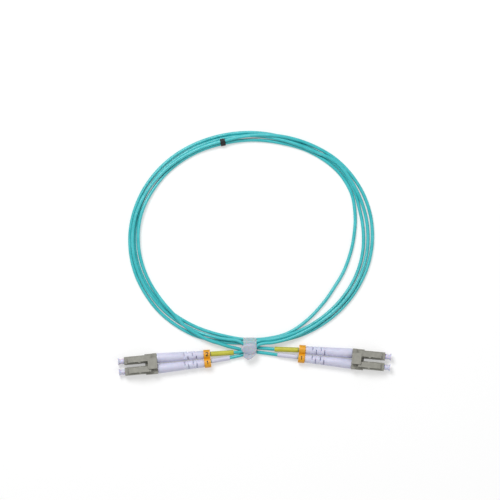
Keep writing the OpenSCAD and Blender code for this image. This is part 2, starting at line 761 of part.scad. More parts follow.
echo(least_gap_coil_a = least_gap(coil_route(lane_a), cord_d, 12));
echo(least_gap_coil_b = least_gap(coil_route(lane_b), cord_d, 12));
echo(least_gap_spring = least_gap(spring_route(), wire_d, 4));

for (side = SIDES) {
  for (n = [1, 2]) {
    channel(side, n) plug();
    channel(side, n) latch();
    channel(side, n) dust_cap();
    channel(side, n) ferrule();
    channel(side, n) flange();
    channel(side, n) spring();
    channel(side, n) rear_body();
    channel(side, n) crimp_ring();
    boot_channel(side, n) boot(roll(side, n));
    sleeve(side, n);
    leg(side, n);
  }
  place(side) duplex_clip();
  place(side) trigger();
  marker_clip(side);
}
coil(lane_a);  // coil_a
coil(lane_b);  // coil_b
cord_band();
tie_band();
tie_knot();
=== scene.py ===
"""Duplex fibre patch cord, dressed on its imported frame. Metres, with the coil's middle at the origin."""

import json
from math import cos, pi, radians, sin

import bmesh
import bpy
from mathutils import Matrix, Vector


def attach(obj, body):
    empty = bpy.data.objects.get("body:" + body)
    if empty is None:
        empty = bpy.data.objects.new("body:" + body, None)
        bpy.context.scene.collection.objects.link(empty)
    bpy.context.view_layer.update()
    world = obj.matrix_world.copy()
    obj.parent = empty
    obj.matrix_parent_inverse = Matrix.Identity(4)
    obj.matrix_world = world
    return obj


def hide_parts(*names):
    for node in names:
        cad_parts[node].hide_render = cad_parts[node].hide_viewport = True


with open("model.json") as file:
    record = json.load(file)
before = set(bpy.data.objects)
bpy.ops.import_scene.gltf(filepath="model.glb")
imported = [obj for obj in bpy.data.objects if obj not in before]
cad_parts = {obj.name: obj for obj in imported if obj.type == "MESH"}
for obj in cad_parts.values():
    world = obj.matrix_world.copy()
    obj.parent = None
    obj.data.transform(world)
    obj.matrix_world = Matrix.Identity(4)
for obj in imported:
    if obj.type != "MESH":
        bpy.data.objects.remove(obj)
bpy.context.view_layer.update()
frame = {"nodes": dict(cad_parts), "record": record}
MM = 0.001
SIDES = ("left", "right")
BODIES = frame["record"]["behaviour"]["bodies"]
BODY_OF = {node: body for body, nodes in BODIES.items() for node in nodes}

# ---- Sizes, in millimetres, as in the part's source ----

CORD_D = 2.0
CORD_R = CORD_D / 2
COIL_R = 68.4
OVAL = 0.878
HANG = COIL_R * OVAL
PITCH = 6.25
AXIS_Z = 2.95
PLUG_FRONT = 19.2
BOOT_D = 5.7
BOOT_TAIL_D = 4.65
BOOT_L = 27.3
NECK_D = 4.0
NECK_L = 2.1
NECK_RIM = 0.15
BOOT_LEAN = radians(1.28)
# Rounding of a boot's rims: [place from the rim, how much smaller the radius is]
BOOT_RIM = [(0, 0.25), (0.08, 0.08), (0.3, 0)]
# Hollow of a boot: its mouth, the room for the crimp ring and the bore for the cord
MOUTH_R, MOUTH_END = 2.2, 1.05
CRIMP_R, CRIMP_END = 2.05, 6.35
BORE_R = CORD_R + 0.2
# How far a visible cord goes into its boot
CORD_INSIDE = 6
SLOT_W = 0.6
SLOT_WEB_R = 1.25
SLOTS = (16.1, 18.16, 21.02, 23.08)
SLOT_ROLL, SLOT_ROLL_LEFT_1 = radians(45), radians(22)
MARKER_D = 5.6
MARKER_L = 3.8
MARKER_BACK = -BOOT_L - 0.1 - MARKER_L

# Middle between the rear ends of both boots, and which way the noses point
TAIL = {"left": Vector((-25.1, -HANG - 10.15, 0)), "right": Vector((30, -HANG - 7.4, 0))}
HEADING = {"left": radians(185.4), "right": radians(-5.4)}

# Turns of both cords: [angle, distance outwards, height], the last two in cord radii
COIL_START, COIL_END, COIL_STEP = -75, 615, 2.5
LANE_1 = [
    [-75, -0.3, 2], [-60, -1, 0.2], [-45, -1.6, 0], [-30, -2, 0], [0, -2.2, 0], [15, -1.7, 0],
    [30, 0.8, 0], [45, 2.3, 0], [60, 1.9, 0], [75, 2.6, 0], [90, 3.05, 0], [105, 3.1, 0], [120, 3.1, 0],
    [135, 2.85, 0], [150, 2.4, 0], [165, 2.1, 0], [180, 2.15, 0], [195, 2.5, 0], [210, 2.95, 0],
    [225, 3.6, 0], [240, 3.7, 0], [255, 2.3, 0], [270, 1, 0.4], [285, 1.7, 0], [300, 2.3, 0],
    [315, 2.3, 0], [330, 2.2, 0], [345, 2.45, 0], [360, 2.95, 0], [375, 3.75, 0], [390, 4.5, 0],
    [405, 4.9, 0.4], [420, 4, 1.5], [435, 2.6, 2.9], [450, 0.8, 2.8], [465, -1, 2.6], [480, -0.8, 1.65],
    [495, -0.5, 1.9], [510, 0, 2.1], [525, 0.4, 2], [540, 0.5, 2.1], [555, 0.6, 2], [570, 0.9, 1.9],
    [585, 0.95, 0.4], [600, 0.9, 0], [615, 0.3, 1.8]]
LANE_2 = [
    [-75, 2, 2.1], [-60, 0.8, 1.8], [-45, 0.2, 1.6], [-30, 0.3, 1.4], [-15, 0.3, 0.8], [0, 0.4, 0],
    [15, 0.9, 0.4], [30, 1.9, 1.9], [45, 3.5, 2], [60, 0.8, 2.3], [75, 0.5, 1.9], [90, 0.9, 0.4],
    [105, 0.85, 0], [120, 0.8, 0], [135, 0.6, 0], [150, 0.1, 0], [165, -0.4, 0], [180, -0.6, 0],
    [195, -0.6, 0], [210, -0.6, 0], [225, -1.1, 0], [240, -1.7, 0], [255, -2.1, 0], [270, -1.25, 0.4],
    [285, -1.5, 0], [290, -2.1, 0], [300, -4.6, 0], [315, -8.1, 0], [330, -9.9, 0], [345, -9.6, 0],
    [360, -8.1, 0], [375, -5, 0], [390, -1.3, 0], [405, 0.1, 0], [420, -0.3, 0], [435, -1.5, 0],
    [450, -1.95, 0], [465, -2.4, 0.9], [480, -2.15, 0], [495, -2.2, 0], [510, -2.5, 0.5],
    [525, -2.4, 1.6], [540, -2.75, 1.6], [555, -2.9, 1.5], [570, -2.7, 1.6], [585, -1.5, 2.5],
    [600, 1.9, 2.2], [615, 3.7, 2.1]]
LANES = {1: LANE_1, 2: LANE_2}

# Free stretches from the sleeves' inner ends to the coil
ROUTES = {
    ("left", 1): [
        (-9.8, -6.4, 1.55), (-5.5, -6.2, 2.95), (-3, -5.6, 3.45), (-0.5, -3.9, 3.6), (1.5, -1.9, 3.6),
        (3.6, -0.2, 3.5), (7, 0.8, 3.2), (12, 1.1, 3)],
    ("left", 2): [
        (-12.1, -9.5, 1.45), (-5.7, -8.1, 1.7), (-2, -7.1, 2.8), (1, -5.4, 3.5), (3.3, -3, 3.5),
        (5.5, -1.7, 3.4), (9, -1, 3.2), (12.5, -0.8, 3.1)],
    ("right", 1): [
        (14.2, -4.45, 1.55), (9, -4, 1.2), (4, -3.7, 1.3), (1, -3.5, 1.35), (-1.6, -3.1, 2),
        (-3.6, -2, 3.4), (-6, -0.3, 3.4), (-9, 0.7, 3.1), (-12, 1, 3)],
    ("right", 2): [
        (15.9, -7.7, 1.45), (9, -6.8, 1.2), (4, -6.2, 1.3), (0, -5.8, 1.4), (-4, -5, 1.4),
        (-8.6, -3.8, 1.3), (-12.5, -3, 2.1)]}

# Outer ends of the sleeves: how far behind the marker clip, and how far beside and below the boot's axis
SLEEVE_GAP = 0.2
SLEEVE_ASIDE = {("left", 1): 0.15, ("left", 2): 0.95, ("right", 1): -0.2, ("right", 2): 0.55}
SLEEVE_DROP = 0.35
SLEEVE_WALL = {1: 0.35, 2: 0.25}
SLEEVE_PLAY = 0.1
SLEEVE_LIP = 0.12

# Moulding radii on the edges of the CAD nodes, by kind
EDGE = {"plug": 0.07, "latch": 0.07, "duplex_clip": 0.08, "trigger": 0.12, "marker_clip": 0.12,
        "cord_band": 0.06}

# Tie: its strip's width and middle along X, and its loop in Y from the coil's lowest point and Z
TIE_W, TIE_X, TIE_T = 7.7, -0.3, 0.25
TIE_IN, TIE_OUT, TIE_SLANT, TIE_TOP = 2.4, -8.2, 0.2, 5.2
TIE_RIBS, TIE_RIB_H, TIE_RIM = 11, 0.05, 0.08
# Knot and tail on top of it: thickness and how far each is domed, then their ribs and thin rim
KNOT_T, KNOT_DOME = 0.85, 0.4
TAIL_T, TAIL_DOME = 0.35, 0.05
FOLD_RIB_PITCH, FOLD_RIB_H, FOLD_RIM = 0.8, 0.09, 0.25


# ---- Places and routes ----

def in_part(side, x, y, z):
    """A point of one connector's own frame, in the frame of the whole part."""
    turn = Matrix.Rotation(HEADING[side], 3, "Z")
    return TAIL[side] + turn @ Vector((x + BOOT_L + NECK_L, y, z))


def channel_sign(side, n):
    return (-1 if side == "left" else 1) * (1 if n == 1 else -1)


def boot_frame(side, n):
    """Matrix from the leaning boot's own frame to the part's, in millimetres."""
    place = Matrix.Translation(in_part(side, 0, 0, 0)) @ Matrix.Rotation(HEADING[side], 4, "Z")
    sign = channel_sign(side, n)
    lean = Matrix.Rotation(sign * BOOT_LEAN, 4, "Z")
    return place @ Matrix.Translation((0, sign * PITCH / 2, AXIS_Z)) @ lean


def spot(p):
    return Vector((p[0], p[1] - HANG, p[2] * CORD_R))


def sleeve_from(side, n):
    back = boot_frame(side, n) @ Vector((MARKER_BACK - SLEEVE_GAP, 0, 0))
    return back + Vector((0, SLEEVE_ASIDE[side, n], -SLEEVE_DROP))


def lane_at(lane, t, c):
    """Value c of a lane at angle t, on a cubic curve that never swings past its points."""
    i = max(k for k in range(len(lane) - 1) if k == 0 or lane[k][0] <= t)
    rise = [(b[c] - a[c]) / (b[0] - a[0]) for a, b in zip(lane, lane[1:])]

    def slope(k):
        if k in (0, len(lane) - 1) or rise[k - 1] * rise[k] <= 0:
            return 0
        return 2 * rise[k - 1] * rise[k] / (rise[k - 1] + rise[k])

    h = lane[i + 1][0] - lane[i][0]
    u = (t - lane[i][0]) / h
    return (lane[i][c] * (1 + 2 * u) * (1 - u) ** 2 + lane[i + 1][c] * u * u * (3 - 2 * u)
            + slope(i) * h * u * (1 - u) ** 2 - slope(i + 1) * h * u * u * (1 - u))


def coil_point(lane, t):
    r = COIL_R + CORD_R * lane_at(lane, t, 1)
    return Vector((r * cos(radians(t)), OVAL * r * sin(radians(t)), CORD_R * (1 + lane_at(lane, t, 2))))


def rounded(points, step=1.2):
    """A smooth curve through the points, with a new point about every step."""
    out = []
    ends = [2 * points[0] - points[1]] + points + [2 * points[-1] - points[-2]]
    for p0, p1, p2, p3 in zip(ends, ends[1:], ends[2:], ends[3:]):
        count = max(1, round((p2 - p1).length / step))
        reach = (p2 - p1).length
        m1 = (p2 - p0) * reach / ((p1 - p0).length + reach)
        m2 = (p3 - p1) * reach / ((p3 - p2).length + reach)
        for k in range(count):
            u = k / count
            out.append(p1 * (1 + 2 * u) * (1 - u) ** 2 + p2 * u * u * (3 - 2 * u)
                       + m1 * u * (1 - u) ** 2 - m2 * u * u * (1 - u))
    return out + [points[-1]]


def strand(n):
    """The whole route of cord n, from inside the left boot round the coil to inside the right one."""
    lane = LANES[n]
    rear = -BOOT_L - NECK_L
    inner = [rear + CORD_INSIDE, rear + CORD_INSIDE / 2, rear]
    left = [boot_frame("left", n) @ Vector((x, 0, 0)) for x in inner]
    left += [sleeve_from("left", n)] + [spot(p) for p in ROUTES["left", n]]
    right = [spot(p) for p in reversed(ROUTES["right", n])] + [sleeve_from("right", n)]
    right += [boot_frame("right", n) @ Vector((x, 0, 0)) for x in reversed(inner)]
    steps = round((COIL_END - COIL_START) / COIL_STEP)
    turns = [coil_point(lane, COIL_START + k * COIL_STEP) for k in range(steps + 1)]
    return rounded(left + turns[:1])[:-1] + turns + rounded(turns[-1:] + right)[1:]


# ---- Materials ----

def srgb(code):
    """Linear colour of an sRGB hex value."""
    parts = [int(code[i:i + 2], 16) / 255 for i in (1, 3, 5)]
    return [c / 12.92 if c <= 0.04045 else ((c + 0.055) / 1.055) ** 2.4 for c in parts] + [1.0]


def add(tree, kind, settings=None, **links):
    """Adds a node with its properties and inputs. Names with _ stand for sockets with spaces."""
    node = tree.nodes.new(kind)
    for name, value in (settings or {}).items():
        if isinstance(name, int) or name in node.inputs:
            node.inputs[name].default_value = value
        else:
            setattr(node, name, value)
    for name, source in links.items():
        socket = int(name[1:]) if name[1:].isdigit() else name.replace("_", " ")
        tree.links.new(source, node.inputs[socket])
    return node


def surface(name, base, speckle, roughness, grain_mm, bump, **shader):
    """A moulded or drawn surface: two close shades in a fine grain, with a bump of the same grain."""
    made = bpy.data.materials.new(name)
    made.use_nodes = True
    tree = made.node_tree
    bsdf = tree.nodes["Principled BSDF"]
    for socket, value in shader.items():
        bsdf.inputs[socket.replace("_", " ")].default_value = value
    where = add(tree, "ShaderNodeTexCoord")
    grain = add(tree, "ShaderNodeTexNoise",
                {"Scale": 1 / (grain_mm * MM), "Detail": 3, "Roughness": 0.6},
                Vector=where.outputs["Object"])
    cloud = add(tree, "ShaderNodeTexNoise", {"Scale": 1 / (12 * grain_mm * MM), "Detail": 2},
                Vector=where.outputs["Object"])
    blend = add(tree, "ShaderNodeMath", {"operation": "MULTIPLY_ADD", 1: 0.5},
                _0=grain.outputs["Fac"], _2=cloud.outputs["Fac"])
    shade = add(tree, "ShaderNodeValToRGB", _0=blend.outputs[0])
    shade.color_ramp.elements[0].position = 0.55
    shade.color_ramp.elements[0].color = srgb(base)
    shade.color_ramp.elements[1].position = 0.95
    shade.color_ramp.elements[1].color = srgb(speckle)
    gloss = add(tree, "ShaderNodeMapRange", {"To Min": roughness - 0.05, "To Max": roughness + 0.08},
                Value=grain.outputs["Fac"])
    rough = add(tree, "ShaderNodeBump", {"Strength": bump, "Distance": 0.03 * MM},
                Height=grain.outputs["Fac"])
    tree.links.new(shade.outputs["Color"], bsdf.inputs["Base Color"])
    tree.links.new(gloss.outputs[0], bsdf.inputs["Roughness"])
    tree.links.new(rough.outputs["Normal"], bsdf.inputs["Normal"])
    return made


# Extruded PVC cord jacket in aqua: satin, with a soft shine along its length
jacket = surface("extruded_pvc_jacket_aqua", "#33b1b6", "#46bdc2", 0.29, 0.5, 0.08, IOR=1.5)
# Moulded PBT plug bodies in warm grey: fine spark-eroded texture, nearly matt
pbt_grey = surface("moulded_pbt_grey", "#85847b", "#929188", 0.5, 0.16, 0.25, IOR=1.52)
# Moulded PBT levers in the same grey, painted a little lighter as painted light on the raised latches and
# trigger
pbt_grey_painted_lit = surface("moulded_pbt_grey_painted_lit", "#8a8981", "#98978e", 0.46, 0.16, 0.2, IOR=1.52)
# Moulded thermoplastic rubber boots in cool white: soft satin that lets a little light in
tpe_white = surface("moulded_tpe_white", "#c6c6dc", "#d0d0e4", 0.48, 0.3, 0.12, IOR=1.48,
                    Subsurface_Weight=0.05, Subsurface_Scale=0.5 * MM)
# Moulded LDPE caps: waxy and slightly translucent
ldpe_cap = surface("moulded_ldpe_natural", "#c8c5dc", "#d4d1e6", 0.38, 0.4, 0.08, IOR=1.51,
                   Subsurface_Weight=0.25, Subsurface_Scale=0.8 * MM)
# Moulded nylon marker clips in orange: satin, with a fine grain
nylon_orange = surface("moulded_nylon_orange", "#d9950f", "#e4a01a", 0.42, 0.25, 0.15, IOR=1.53)
# Ink of the printed figures
ink = surface("printed_ink_dark", "#2b2119", "#382c22", 0.55, 0.2, 0.05, IOR=1.5)
# Extruded identification tubes: matt polyolefin in yellow and in white
tube_yellow = surface("extruded_polyolefin_yellow", "#b5b134", "#c2be42", 0.5, 0.35, 0.15, IOR=1.49)
tube_white = surface("extruded_polyolefin_white", "#c3c3d8", "#cecee0", 0.5, 0.35, 0.15, IOR=1.49)
# Rubber band in black: matt, with a dusty bloom
rubber_black = surface("cut_rubber_black", "#101012", "#1b1b1d", 0.7, 0.3, 0.3, IOR=1.52)
# Polished zirconia ferrule: hard, glassy white
zirconia = surface("polished_zirconia", "#f0efe9", "#f6f5f0", 0.12, 0.4, 0.02, IOR=2.1)
# Nickel-plated brass: bright, with faint turning marks
nickel = surface("turned_nickel_plate", "#b9b7b0", "#c6c4bd", 0.25, 0.08, 0.15, Metallic=1.0)
# Drawn stainless spring wire
spring_steel = surface("drawn_spring_steel", "#a9a8a5", "#bab9b6", 0.3, 0.1, 0.1, Metallic=1.0)


def film(name, base, deep, roughness):
    """Ribbed polyethylene strip: milky, lets the cords under it show through a little."""
    made = surface(name, base, deep, roughness, 0.5, 0.15, IOR=1.5,
                   Subsurface_Weight=0.3, Subsurface_Scale=0.5 * MM)
    made.node_tree.nodes["Principled BSDF"].inputs["Alpha"].default_value = 0.7
    return made


# Extruded polyethylene tie: milky and bluish, with ribs along its length
tie_film = film("extruded_pe_tie", "#a9c2ca", "#bfd2d6", 0.35)
tie_fold = film("extruded_pe_tie_folded", "#b9bfd0", "#c9ccda", 0.38)

# CAD nodes inside the plugs, which stay as they are and only get their real finish
NODE_FINISH = {"ferrule": zirconia, "flange": nickel, "rear_body": nickel, "crimp_ring": nickel}


# ---- Mesh helpers ----

def made_object(name, data, material, body):
    piece = bpy.data.objects.new(name, data)
    bpy.context.scene.collection.objects.link(piece)
    data.materials.clear()
    data.materials.append(material)
    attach(piece, body)
    return piece


def apply_modifiers(piece):
    depsgraph = bpy.context.evaluated_depsgraph_get()
    done = bpy.data.meshes.new_from_object(piece.evaluated_get(depsgraph))
    piece.modifiers.clear()
    piece.data = done


def mesh_from(name, verts, faces, smooth_angle=40):
    """Mesh of points in millimetres, smooth except at edges sharper than smooth_angle."""
    mesh = bpy.data.meshes.new(name)
    mesh.from_pydata([Vector(v) * MM for v in verts], [], faces)
    bm = bmesh.new()
    bm.from_mesh(mesh)
    bmesh.ops.recalc_face_normals(bm, faces=bm.faces)
    smooth_edges(bm, smooth_angle)
    bm.to_mesh(mesh)
    bm.free()
    return mesh


def smooth_edges(bm, angle):
    for face in bm.faces:
        face.smooth = True
    for edge in bm.edges:
        edge.smooth = len(edge.link_faces) == 2 and edge.calc_face_angle(0) < radians(angle)


def softened(node, width_mm, material):
    """Stands for a CAD node: the same shape, with the small moulding radius on its edges.

    Large faces are cut into triangles first, because the bevel folds those with inward corners.
    """
    source = frame["nodes"][node]
    mesh = source.data.copy()
    bm = bmesh.new()
    bm.from_mesh(mesh)
    bmesh.ops.remove_doubles(bm, verts=bm.verts, dist=0.002 * MM)
    bmesh.ops.dissolve_limit(bm, angle_limit=radians(1), verts=bm.verts, edges=bm.edges)
    bmesh.ops.triangulate(bm, faces=[f for f in bm.faces if len(f.verts) > 4])
    smooth_edges(bm, 180)
    bm.to_mesh(mesh)
    bm.free()
    for layer in [a for a in mesh.attributes if a.name == "custom_normal"]:
        mesh.attributes.remove(layer)
    piece = made_object(f"{node}_moulded", mesh, material, BODY_OF[node])
    piece.matrix_world = source.matrix_world.copy()
    bevel = piece.modifiers.new("edge", "BEVEL")
    bevel.width = width_mm * MM
    bevel.segments = 2
    bevel.limit_method = "ANGLE"
    bevel.angle_limit = radians(35)
    bevel.use_clamp_overlap = True
    piece.modifiers.new("weight", "WEIGHTED_NORMAL")
    apply_modifiers(piece)
    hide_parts(node)


def closed_loft(name, rings):
    """Mesh through rings with equal counts, from the last back to the first, as on a tube's walls."""
    count = len(rings[0])
    verts = [p for ring in rings + rings[:1] for p in ring]
    faces = []
    for i in range(len(rings)):
        for j in range(count):
            a, b = i * count + j, i * count + (j + 1) % count
            faces.append((a, b, b + count, a + count))
    return mesh_from(name, verts, faces)


def circle_points(x, r, sides=64, flat=None):
    """Ring round X. A flat ring is cut to the slots' web at its top and bottom, or at its sides."""
    ring = []
    for j in range(sides):
        y, z = r * cos(2 * pi * (j + 0.5) / sides), r * sin(2 * pi * (j + 0.5) / sides)
        if flat == "top":
            z = max(-SLOT_WEB_R, min(SLOT_WEB_R, z))
        if flat == "side":
            y = max(-SLOT_WEB_R, min(SLOT_WEB_R, y))
        ring.append(Vector((x, y, z)))
    return ring


# ---- Camera ----

def camera():
    """Looks down almost square to the surface through a long lens, so sizes agree all over."""
    lens, sensor, pixels, mm_per_pixel = 800, 36, 500, 0.585
    elevation = radians(85)
    aim = Vector((-0.23, -6.2, 0)) * MM
    distance = mm_per_pixel * pixels * lens / sensor * MM
    data = bpy.data.cameras.new("camera")
    data.lens = lens
    data.sensor_width = sensor
    data.clip_start = 0.1
    data.clip_end = 30
    seen = bpy.data.objects.new("camera", data)
    seen.location = aim + distance * Vector((0, -cos(elevation), sin(elevation)))
    seen.rotation_euler = (pi / 2 - elevation, 0, 0)
    bpy.context.scene.collection.objects.link(seen)
    bpy.context.scene.camera = seen


# ---- Cords ----

def tube(name, points, diameter, material, body, resolution=5):
    """Round tube along the points, in millimetres, drawn as a curve and kept as a mesh."""
    data = bpy.data.curves.new(name, "CURVE")
    data.dimensions = "3D"
    data.bevel_depth = diameter / 2 * MM
    data.bevel_resolution = resolution
    data.use_fill_caps = True
    spline = data.splines.new("POLY")
    spline.points.add(len(points) - 1)
    for point, p in zip(spline.points, points):
        point.co = (*(p * MM), 1)
    spline.use_smooth = True
    drawn = bpy.data.objects.new(name, data)
    bpy.context.scene.collection.objects.link(drawn)
    mesh = bpy.data.meshes.new_from_object(drawn.evaluated_get(bpy.context.evaluated_depsgraph_get()))
    bpy.data.objects.remove(drawn)
    bpy.data.curves.remove(data)
    return made_object(name, mesh, material, body)


def cords():
    for n, letter in ((1, "a"), (2, "b")):
        route = strand(n)
        cord = tube(f"cord_{letter}", route, CORD_D, jacket, "cord")
        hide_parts(f"coil_{letter}", f"left_leg_{n}", f"right_leg_{n}")
        pieces = [sleeve(side, n) for side in SIDES]


def sleeve(side, n):
    """Identification tube pushed on the cord, with its two cut ends slightly drawn in."""
    start, end = sleeve_from(side, n), spot(ROUTES[side, n][0])
    run = end - start
    inner, outer, lip = CORD_R + SLEEVE_PLAY, CORD_R + SLEEVE_PLAY + SLEEVE_WALL[n], SLEEVE_LIP
    profile = [
        (0, inner), (0, outer - lip), (lip, outer), (run.length - lip, outer), (run.length, outer - lip),
        (run.length, inner)]
    turn = Matrix.Translation(start) @ run.to_track_quat("X", "Z").to_matrix().to_4x4()
    rings = [[turn @ p for p in circle_points(x, r, 40)] for x, r in profile]
    name = f"{side}_sleeve_{n}"
    colour = tube_yellow if n == 1 else tube_white
    piece = made_object(f"{name}_tube", closed_loft(name, rings), colour, "cord")
    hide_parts(name)
    return piece


# ---- Connectors ----

def boot_outline():
    """Stations of a boot from its front to its rear: place, radius and which way a slot cuts it."""
    def radius(x):
        return (BOOT_D + (BOOT_TAIL_D - BOOT_D) * x / BOOT_L) / 2

    stations = [(x, radius(0) - less, None) for x, less in BOOT_RIM]
    for i, x in enumerate(SLOTS):
        flat = "side" if i % 2 else "top"
        near, far, r = x - SLOT_W / 2, x + SLOT_W / 2, radius(x)
        stations += [(near - 0.1, r, None), (near, r - 0.05, None), (near, r - 0.05, flat)]
        stations += [(far, r - 0.05, flat), (far, r - 0.05, None), (far + 0.1, r, None)]
    stations += [(BOOT_L - x, radius(BOOT_L) - less, None) for x, less in reversed(BOOT_RIM)]
    stations += [(BOOT_L, NECK_D / 2, None), (BOOT_L + NECK_L - NECK_RIM, NECK_D / 2, None)]
    return stations + [(BOOT_L + NECK_L, NECK_D / 2 - NECK_RIM, None)]


def boot(side, n):
    """Strain relief: a long taper with slots that take turns, hollow at its front for the crimp."""
    roll = SLOT_ROLL_LEFT_1 if (side, n) == ("left", 1) else SLOT_ROLL
    place = boot_frame(side, n) @ Matrix.Rotation(roll, 4, "X")
    inside = [
        (BOOT_L + NECK_L, BORE_R), (CRIMP_END, BORE_R), (CRIMP_END, CRIMP_R), (MOUTH_END, CRIMP_R),
        (MOUTH_END, MOUTH_R), (0, MOUTH_R)]
    stations = boot_outline() + [(x, r, None) for x, r in inside]
    rings = [[place @ p for p in circle_points(-x, r, flat=flat)] for x, r, flat in stations]
    name = f"{side}_boot_{n}"
    piece = made_object(f"{name}_moulded", closed_loft(name, rings), tpe_white, BODY_OF[name])
    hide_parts(name)


def dust_cap(side, n):
    """Cap with a trumpet-shaped head that fingers pull on, and a tube in the plug's nose."""
    sign = channel_sign(side, n)
    profile = [
        (-4.6, 0.775), (-4.6, 1.35), (-4.5, 1.45), (0.05, 1.45), (0.05, 1.55), (0.15, 1.6), (1.2, 1.5),
        (1.9, 1.41), (2.2, 1.4), (2.5, 1.46), (2.75, 1.58), (2.95, 1.74), (3.1, 1.92), (3.22, 2.05),
        (3.32, 2.1), (3.5, 2.1), (3.58, 2.04), (3.6, 1.9), (3.6, 0.9), (3.45, 0.75), (3.4, 0.05),
        (2.4, 0.05), (2.35, 0.775)]
    rings = [[in_part(side, p.x, p.y + sign * PITCH / 2, p.z + AXIS_Z)
              for p in circle_points(PLUG_FRONT + x, r, 48)] for x, r in profile]
    name = f"{side}_dust_cap_{n}"
    piece = made_object(f"{name}_moulded", closed_loft(name, rings), ldpe_cap, BODY_OF[name])
    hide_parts(name)


def spring(side, n):
    """Drawn wire spring behind the ferrule, as a smooth helix."""
    turns, steps, wire, radius, start, end = 6, 20, 0.35, 1.225, 5.695, PLUG_FRONT - 8.195
    sign = channel_sign(side, n)
    points = []
    for k in range(turns * steps + 1):
        a = 2 * pi * k / steps
        x = start + (end - start) * k / (turns * steps)
        points.append(in_part(side, x, sign * PITCH / 2 + radius * cos(a), AXIS_Z + radius * sin(a)))
    name = f"{side}_spring_{n}"
    piece = tube(f"{name}_wire", points, wire, spring_steel, BODY_OF[name], resolution=2)
    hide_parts(name)


# Strokes of the figures 1 and 2 in a box 1 wide and 1.6 high, from its lower left corner
FIGURES = {
    1: [(0.2, 1.25), (0.55, 1.6), (0.55, 0)],
    2: [(0, 1.25), (0.15, 1.52), (0.5, 1.62), (0.85, 1.5), (1, 1.2), (0.85, 0.85), (0, 0), (1, 0)]}

# Faces of a stroke's small block, whose lower four corners come before its upper four
BOX_FACES = ((0, 1, 2, 3), (7, 6, 5, 4), (0, 4, 5, 1), (1, 5, 6, 2), (2, 6, 7, 3), (3, 7, 4, 0))


def figure(side, n, value):
    """Printed figure on the top of ring n of a marker clip, bent round the ring."""
    wide, thick, size = 0.24, 0.015, 1.3
    radius = MARKER_D / 2
    place = boot_frame(side, n)
    middle = MARKER_BACK + MARKER_L / 2
    strokes = [Vector((x - 0.5, y - 0.8)) * size for x, y in FIGURES[value]]
    up = 1 if side == "right" else -1
    verts, faces = [], []
    for a, b in zip(strokes, strokes[1:]):
        run = (b - a).normalized()
        across = Vector((-run.y, run.x)) * wide
        pieces = max(1, round((b - a).length / 0.15))
        for k in range(pieces):
            p, q = a.lerp(b, k / pieces) - run * 0.04, a.lerp(b, (k + 1) / pieces) + run * 0.04
            base = len(verts)
            for height in (-0.03, thick):
                for c in (p - across, q - across, q + across, p + across):
                    angle = up * c.y / radius
                    r = radius + height
                    verts.append(place @ Vector((middle + up * c.x, r * sin(angle), r * cos(angle))))
            faces += [tuple(base + i for i in f) for f in BOX_FACES]
    name = f"{side}_figure_{n}"
    made_object(name, mesh_from(name, verts, faces), ink, "cord")


def connectors():
    for side in SIDES:
        for n in (1, 2):
            softened(f"{side}_plug_{n}", EDGE["plug"], pbt_grey)
            softened(f"{side}_latch_{n}", EDGE["latch"], pbt_grey_painted_lit)
            boot(side, n)
            dust_cap(side, n)
            spring(side, n)
            for kind, finish in NODE_FINISH.items():
                finish_node(f"{side}_{kind}_{n}", finish)
        softened(f"{side}_duplex_clip", EDGE["duplex_clip"], pbt_grey)
        softened(f"{side}_trigger", EDGE["trigger"], pbt_grey_painted_lit)
        softened(f"{side}_marker_clip", EDGE["marker_clip"], nylon_orange)
    figure("left", 1, 2)
    figure("left", 2, 1)
    figure("right", 2, 1)


def finish_node(node, material):
    """Gives a CAD node that stays its material."""
    for slot in frame["nodes"][node].material_slots:
        slot.material = material


# ---- Tie and band ----

def tie_path(x):
    """Loop of the strip's outer face at one place along X, as Y and Z points."""
    out = TIE_OUT + TIE_SLANT * x
    corners = [Vector(c) for c in ((TIE_IN, 0), (TIE_IN, 2.4), (0.3, TIE_TOP), (out, TIE_TOP), (out, 0))]
    radius, steps, path = 1.2, 6, []
    for before, corner, after in zip(corners[-1:] + corners[:-1], corners, corners[1:] + corners[:1]):
        p, q = (corner + radius * (other - corner).normalized() for other in (before, after))
        for k in range(steps + 1):
            u = k / steps
            point = p * (1 - u) ** 2 + corner * 2 * u * (1 - u) + q * u * u
            path.append(point - Vector((HANG, 0)))
    return path


def tie_band():
    """Flat ribbed strip round all the cords."""
    rows = 89
    places = [TIE_W * (j / (rows - 1) - 0.5) for j in range(rows)]
    paths = [tie_path(x) for x in places]
    count = len(paths[0])
    verts, faces = [], []
    for skin in (0, 1):
        for i in range(count):
            for j, path in enumerate(paths):
                run = (path[(i + 1) % count] - path[i - 1]).normalized()
                rib = TIE_RIB_H * (0.5 + 0.5 * cos(2 * pi * TIE_RIBS * j / (rows - 1)))
                rim = TIE_RIM if j in (0, rows - 1) else 0
                depth = rib + rim if skin == 0 else TIE_T - rim
                q = path[i] - Vector((run.y, -run.x)) * depth
                verts.append((TIE_X + places[j], q.x, q.y))
    size = count * rows
    for i in range(count):
        k = (i + 1) % count
        for j in range(rows - 1):
            a, b, c, d = i * rows + j, i * rows + j + 1, k * rows + j + 1, k * rows + j
            faces.append((a, b, c, d))
            faces.append((a + size, d + size, c + size, b + size))
        for j in (0, rows - 1):
            a, d = i * rows + j, k * rows + j
            faces.append((a, d, d + size, a + size))
    mesh = mesh_from("tie_strip", verts, faces)
    piece = made_object("tie_strip", mesh, tie_film, "cord")
    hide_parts("tie_band")


